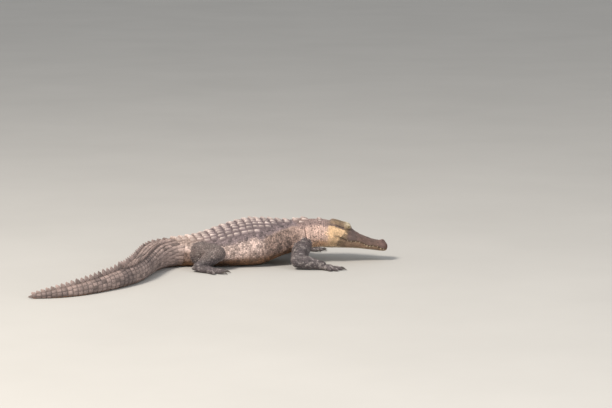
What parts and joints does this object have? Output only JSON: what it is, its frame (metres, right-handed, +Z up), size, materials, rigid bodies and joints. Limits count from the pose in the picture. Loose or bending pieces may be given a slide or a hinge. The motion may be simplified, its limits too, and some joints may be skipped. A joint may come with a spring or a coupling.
{
  "type": "alligator",
  "caption": "Life-size adult alligator lying on its belly with its head held up, scutes along the neck, back and tail, and its tail swung round.",
  "frame": {"origin": "centre of the box around the animal, at the level of the floor it lies on", "axes": "+X is the way the head points, +Z is up, and the animal's right side faces -Y"},
  "size_m": [2.4625, 2.1363, 0.3261],
  "materials": {
    "body_skin": "matt scaly hide",
    "tail_skin": "matt scaly hide",
    "limb_skin": "dark scaly hide",
    "jaw_skin": "pale scaly hide",
    "claw": "dark horn",
    "eye": "wet gloss"
  },
  "bodies": {
    "root": {"claw_foot_left_1": "claw", "claw_foot_left_2": "claw", "claw_foot_left_3": "claw", "claw_foot_right_1": "claw", "claw_foot_right_2": "claw", "claw_foot_right_3": "claw", "claw_hand_left_1": "claw", "claw_hand_left_2": "claw", "claw_hand_left_3": "claw", "claw_hand_right_1": "claw", "claw_hand_right_2": "claw", "claw_hand_right_3": "claw", "ear_left": "body_skin", "ear_right": "body_skin", "eye_left": "eye", "eye_right": "eye", "foot_left": "limb_skin", "foot_right": "limb_skin", "forearm_left": "limb_skin", "forearm_right": "limb_skin", "hand_left": "limb_skin", "hand_right": "limb_skin", "head": "body_skin", "lower_jaw": "jaw_skin", "neck": "body_skin", "shank_left": "limb_skin", "shank_right": "limb_skin", "tail_base": "tail_skin", "tail_lower": "tail_skin", "tail_middle": "tail_skin", "tail_tip": "tail_skin", "tail_upper": "tail_skin", "thigh_left": "limb_skin", "thigh_right": "limb_skin", "torso": "body_skin", "upper_arm_left": "limb_skin", "upper_arm_right": "limb_skin"}
  },
  "joints": []
}
